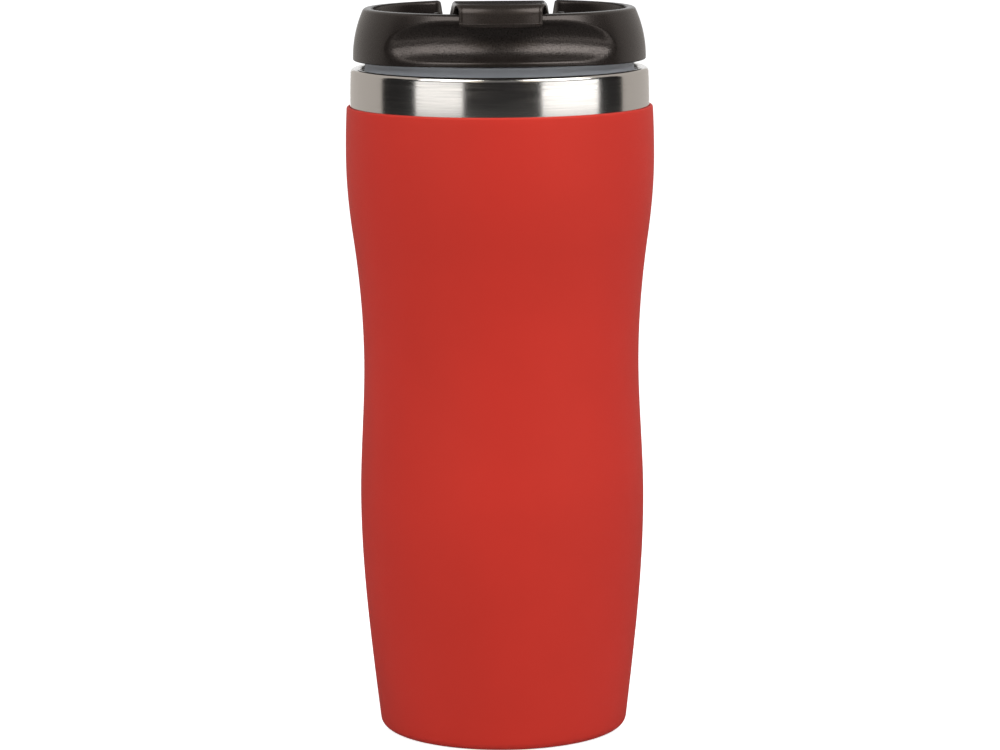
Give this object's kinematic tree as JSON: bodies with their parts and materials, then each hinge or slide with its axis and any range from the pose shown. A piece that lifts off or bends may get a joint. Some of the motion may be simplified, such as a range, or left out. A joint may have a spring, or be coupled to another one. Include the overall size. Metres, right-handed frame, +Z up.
{
  "type": "insulated travel mug",
  "caption": "Waved double-wall travel mug with a soft-touch outer shell, bare steel rim band and press-in lid with a flip lever over the drink hole.",
  "frame": {"origin": "middle of the foot, on the surface that the mug stands on", "axes": "+Z up along the cup's axis, -Y towards the thumb scoop and the lever's flap, +X to the right seen from the scoop"},
  "size_m": [0.0848, 0.0848, 0.2037],
  "materials": {
    "red_coat": "soft-touch matte coat",
    "brushed_steel": "brushed round the rim",
    "black_plastic": "fine moulded grain",
    "grey_silicone": "matte silicone"
  },
  "bodies": {
    "cup": {"outer_shell": "red_coat", "steel_liner": "brushed_steel", "base_plate": "brushed_steel"},
    "lid": {"lid_cap": "black_plastic", "lid_plug": "black_plastic", "seal_ring": "grey_silicone", "hinge_pin": "brushed_steel"},
    "lever": {"flip_lever": "black_plastic", "lever_stopper": "grey_silicone"}
  },
  "joints": [
    {"name": "lid_lift", "type": "slide", "parent": "cup", "child": "lid", "axis": [0, 0, 1], "range_m": [0, 0.06]},
    {"name": "lever_flip", "type": "hinge", "parent": "lid", "child": "lever", "pos_m": [0, 0, 0.1972], "axis": [-1, 0, 0], "range_deg": [0, 180]}
  ]
}
